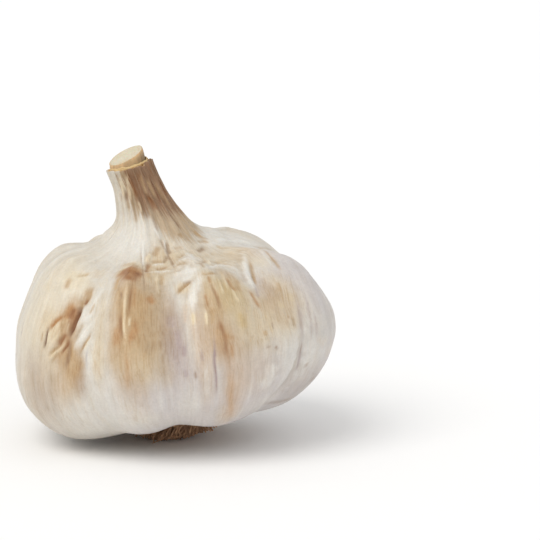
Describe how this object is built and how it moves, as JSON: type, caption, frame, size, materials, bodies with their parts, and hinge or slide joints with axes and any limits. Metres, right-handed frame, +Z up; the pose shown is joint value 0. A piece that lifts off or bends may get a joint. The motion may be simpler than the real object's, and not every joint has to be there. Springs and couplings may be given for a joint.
{
  "type": "garlic bulb",
  "caption": "Whole garlic bulb in its papery skin, with a bent neck, the cut end of the stem and a pad of trimmed roots that it rests on.",
  "frame": {"origin": "middle of the small level spot under the root pad that the bulb rests on", "axes": "+Z up from the table, -Y towards the viewer of the picture, -X towards the side that the neck leans to"},
  "size_m": [0.0615, 0.0603, 0.0559],
  "materials": {
    "papery_skin": "dry papery skin, matte with a faint satin sheen",
    "cut_stem": "dry fibrous cut",
    "roots": "dry matte root stubs"
  },
  "bodies": {
    "root": {"skin_and_cloves": "papery_skin", "cut_stem": "cut_stem", "root_pad": "roots"}
  },
  "joints": []
}
